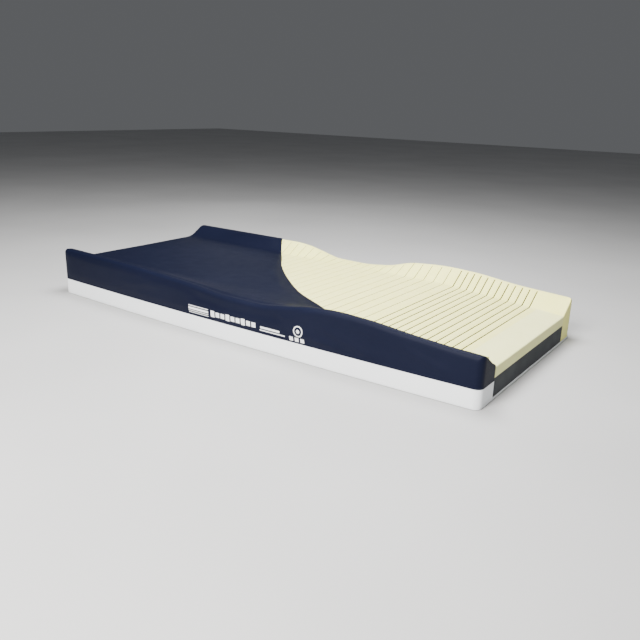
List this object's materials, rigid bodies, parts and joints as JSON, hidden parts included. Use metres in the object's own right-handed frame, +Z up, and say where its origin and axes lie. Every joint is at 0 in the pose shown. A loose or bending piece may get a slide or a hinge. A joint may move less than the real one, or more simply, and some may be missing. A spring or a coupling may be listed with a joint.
{
  "type": "pressure relief mattress",
  "caption": "Pressure relief mattress with raised sides, a slit foam lying surface and a cut-away zipped cover, folding in sections.",
  "frame": {"origin": "under the middle of the mattress, on the surface that it lies on", "axes": "+X to the foot end, +Y to the far side, which has the zip, +Z up"},
  "size_m": [2.032, 0.8958, 0.209],
  "materials": {
    "base_foam": "firm open-cell foam, matte, dark grey",
    "slit_foam": "open-cell foam, matte, pale cream",
    "bolster_foam": "open-cell foam, matte, pale cream",
    "heel_foam": "soft open-cell foam, matte, greyish cream",
    "navy_stretch_fabric": "coated stretch knit, soft sheen",
    "white_coated_fabric": "coated woven fabric, soft sheen",
    "zip_tape": "woven tape",
    "zip_coil": "moulded nylon coil",
    "zip_metal": "satin enamel"
  },
  "bodies": {
    "seat_section": {"base_foam_seat": "base_foam", "slit_foam_seat": "slit_foam", "near_bolster_seat": "bolster_foam", "far_bolster_seat": "bolster_foam", "top_cover_seat": "navy_stretch_fabric", "bottom_cover_seat": "white_coated_fabric"},
    "back_section": {"base_foam_back": "base_foam", "slit_foam_back": "slit_foam", "near_bolster_back": "bolster_foam", "far_bolster_back": "bolster_foam", "top_cover_back": "navy_stretch_fabric", "bottom_cover_back": "white_coated_fabric", "zip_upper_tape": "zip_tape", "zip_lower_tape": "zip_tape", "zip_upper_coil": "zip_coil", "zip_lower_coil": "zip_coil", "zip_stop": "zip_metal"},
    "thigh_section": {"base_foam_thigh": "base_foam", "slit_foam_thigh": "slit_foam", "near_bolster_thigh": "bolster_foam", "far_bolster_thigh": "bolster_foam", "top_cover_thigh": "navy_stretch_fabric", "bottom_cover_thigh": "white_coated_fabric"},
    "calf_section": {"base_foam_calf": "base_foam", "slit_foam_calf": "slit_foam", "near_bolster_calf": "bolster_foam", "far_bolster_calf": "bolster_foam", "top_cover_calf": "navy_stretch_fabric", "bottom_cover_calf": "white_coated_fabric", "heel_pad": "heel_foam"},
    "slider": {"zip_slider": "zip_metal"},
    "pull": {"zip_pull": "zip_metal"}
  },
  "joints": [
    {"name": "back_raise", "type": "hinge", "parent": "seat_section", "child": "back_section", "pos_m": [-0.075, 0, 0.184], "axis": [0, 1, 0], "range_deg": [0, 65]},
    {"name": "thigh_raise", "type": "hinge", "parent": "seat_section", "child": "thigh_section", "pos_m": [0.165, 0, 0.184], "axis": [0, -1, 0], "range_deg": [0, 20]},
    {"name": "knee_bend", "type": "hinge", "parent": "thigh_section", "child": "calf_section", "pos_m": [0.48, 0, 0], "axis": [0, 1, 0], "range_deg": [0, 33]},
    {"name": "zip_slide", "type": "slide", "parent": "back_section", "child": "slider", "axis": [1, 0, 0], "range_m": [0, 0.475]},
    {"name": "pull_swing", "type": "hinge", "parent": "slider", "child": "pull", "pos_m": [-0.946, 0.4492, 0.067], "axis": [1, 0, 0], "range_deg": [0, 150]}
  ],
  "couplings": [
    {"joint": "knee_bend", "follows": "thigh_raise", "ratio": 1.62}
  ]
}
